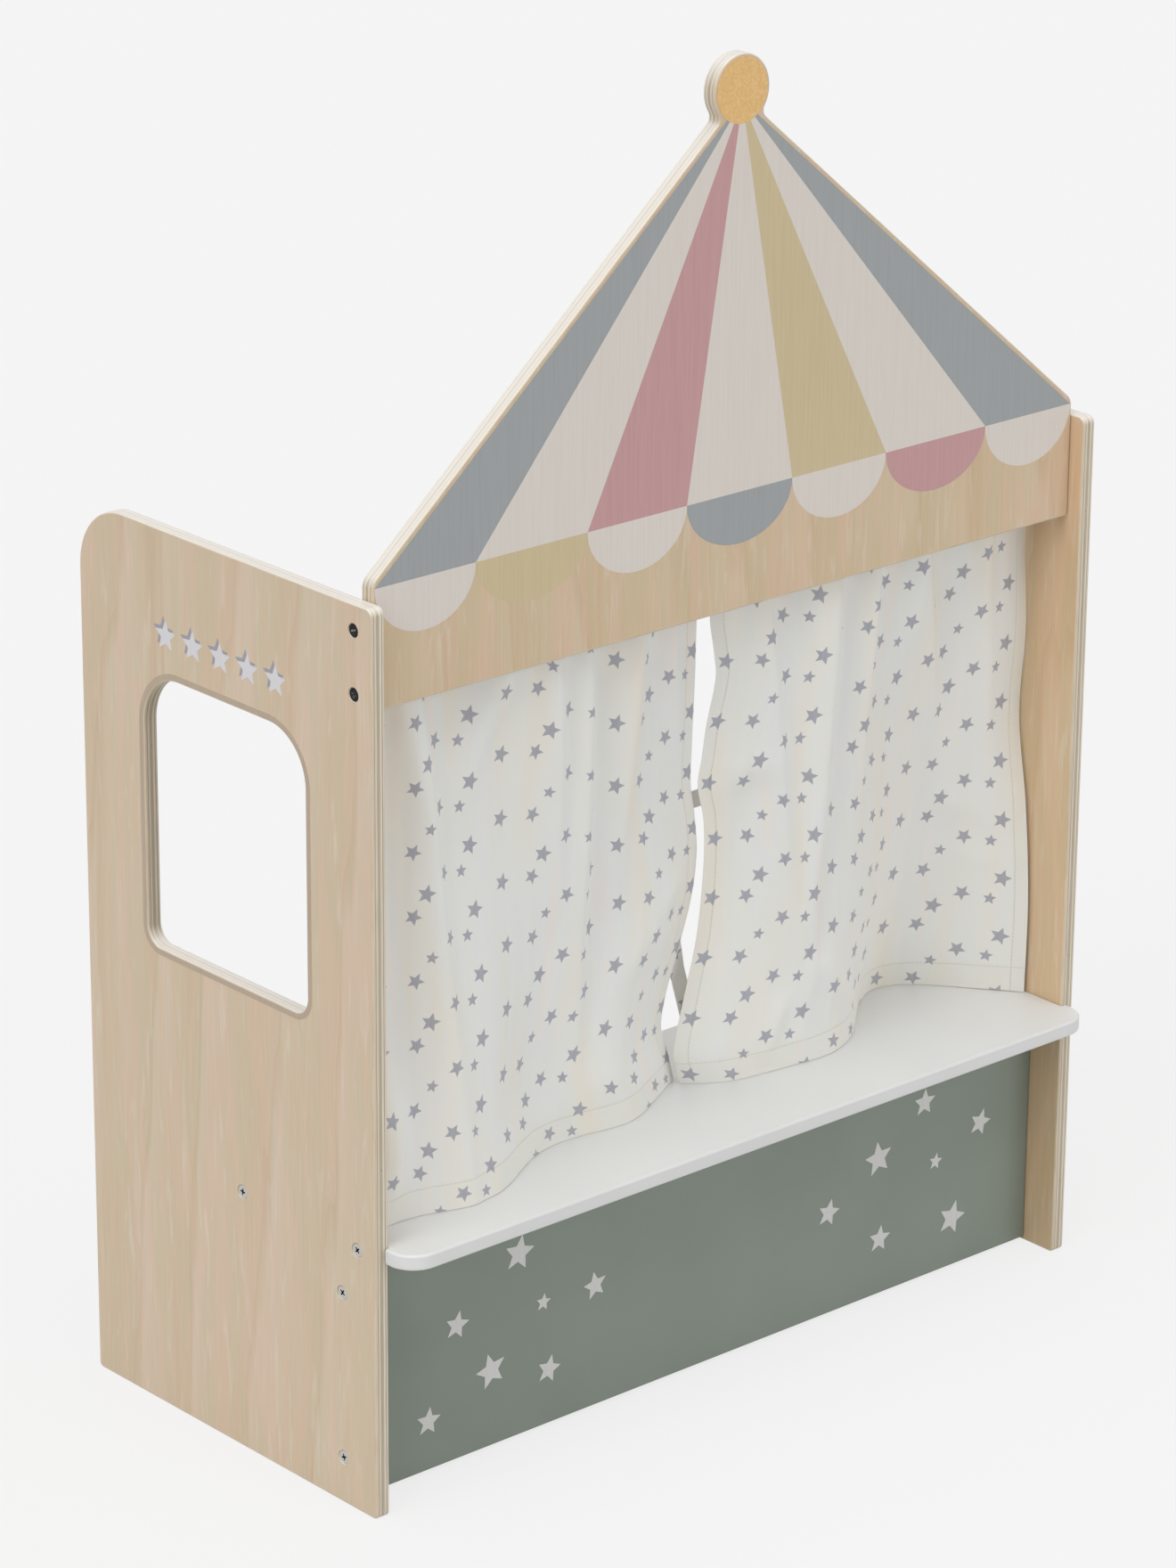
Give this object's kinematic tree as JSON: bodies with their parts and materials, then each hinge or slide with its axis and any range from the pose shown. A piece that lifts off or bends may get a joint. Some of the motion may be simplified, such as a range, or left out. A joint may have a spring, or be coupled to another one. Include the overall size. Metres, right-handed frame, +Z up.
{
  "type": "puppet theater stand",
  "caption": "Child's floor-standing puppet theater: windowed plywood side panels, a tent-shaped roof board, a stage shelf, a painted base board and two curtains that slide on a wooden rod.",
  "frame": {"origin": "on the floor, halfway between the side panels, at the middle of the overall depth with the shelf's overhang", "axes": "+Z up, +X to the right of someone facing the stage, the stage faces -Y"},
  "size_m": [0.7, 0.356, 1.0135],
  "materials": {
    "plywood": "clear matt lacquer on pale plywood",
    "white_paint": "satin white paint on board",
    "sage_paint": "matt grey-green paint on board",
    "dowel_wood": "bare turned dowel",
    "curtain_cotton": "off-white cotton printed with small grey-blue stars",
    "black_steel": "black oxide",
    "zinc_steel": "zinc plated"
  },
  "bodies": {
    "stand": {"left_side_panel": "plywood", "right_side_panel": "plywood", "roof_panel": "plywood", "stage_shelf": "white_paint", "base_panel": "sage_paint", "curtain_rod": "dowel_wood", "left_roof_bolt_lower": "black_steel", "left_roof_bolt_upper": "black_steel", "right_roof_bolt_lower": "black_steel", "right_roof_bolt_upper": "black_steel", "left_shelf_screw_front": "zinc_steel", "left_shelf_screw_back": "zinc_steel", "right_shelf_screw_front": "zinc_steel", "right_shelf_screw_back": "zinc_steel", "left_base_screw_lower": "zinc_steel", "left_base_screw_upper": "zinc_steel", "right_base_screw_lower": "zinc_steel", "right_base_screw_upper": "zinc_steel", "left_barrel_nut_lower": "zinc_steel", "left_barrel_nut_upper": "zinc_steel", "right_barrel_nut_lower": "zinc_steel", "right_barrel_nut_upper": "zinc_steel"},
    "left_drape": {"left_curtain": "curtain_cotton", "left_curtain_tie": "curtain_cotton"},
    "right_drape": {"right_curtain": "curtain_cotton", "right_curtain_tie": "curtain_cotton"}
  },
  "joints": [
    {"name": "left_curtain_slide", "type": "slide", "parent": "stand", "child": "left_drape", "axis": [-1, 0, 0], "range_m": [0, 0.236], "deforming": ["left_curtain"]},
    {"name": "right_curtain_slide", "type": "slide", "parent": "stand", "child": "right_drape", "axis": [1, 0, 0], "range_m": [0, 0.242], "deforming": ["right_curtain"]}
  ]
}
